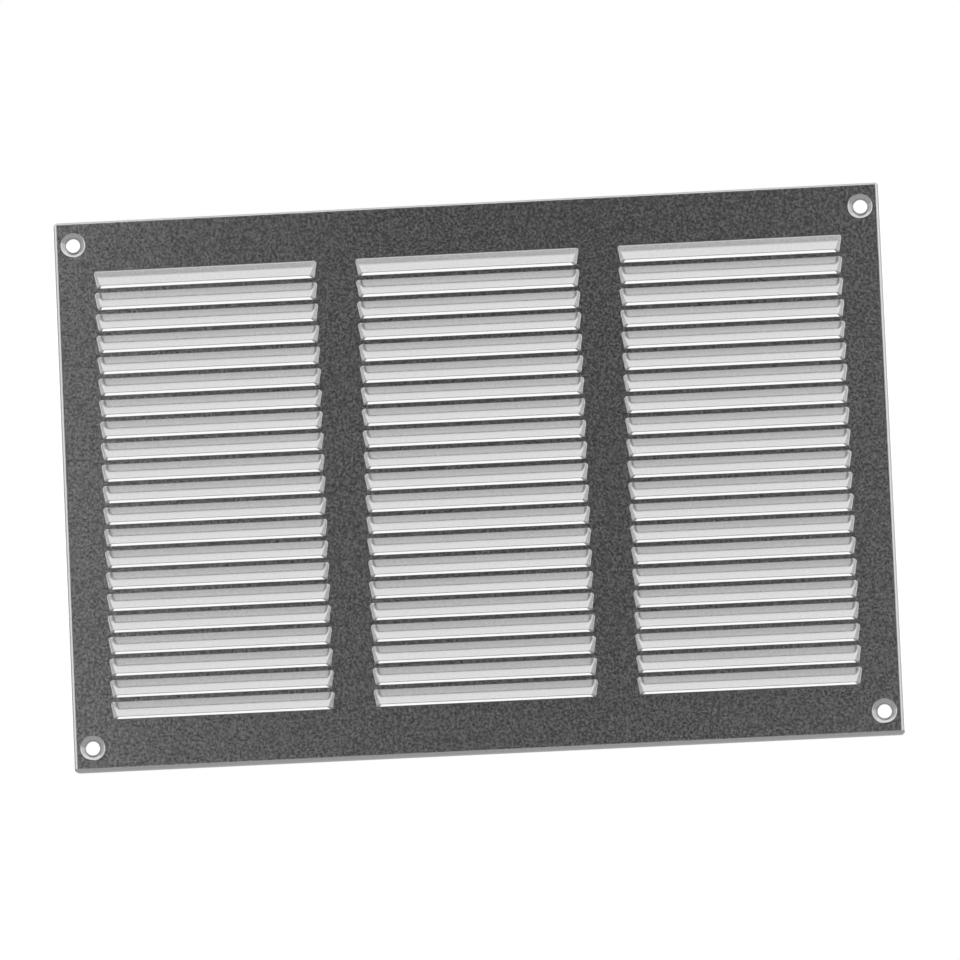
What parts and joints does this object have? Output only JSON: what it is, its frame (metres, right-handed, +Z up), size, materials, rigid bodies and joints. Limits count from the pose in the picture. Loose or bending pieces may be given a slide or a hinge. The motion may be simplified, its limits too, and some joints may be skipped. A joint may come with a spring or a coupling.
{
  "type": "louvred ventilation grille",
  "caption": "Rectangular pressed-steel ventilation grille: a shallow pan with return flanges, columns of closed-end louvres opening downwards and dimpled fixing holes in the corners.",
  "frame": {"origin": "centre of the wall plane, midway between the four fixing holes, where the flange rims touch", "axes": "X along the width, +Z up the wall, the louvres face -Y, the wall is on the +Y side"},
  "size_m": [0.3, 0.0123, 0.2],
  "materials": {
    "sheet": "galvanised, dull silver-grey with a faint mottle"
  },
  "bodies": {
    "root": {"louvre_panel": "sheet"}
  },
  "joints": []
}
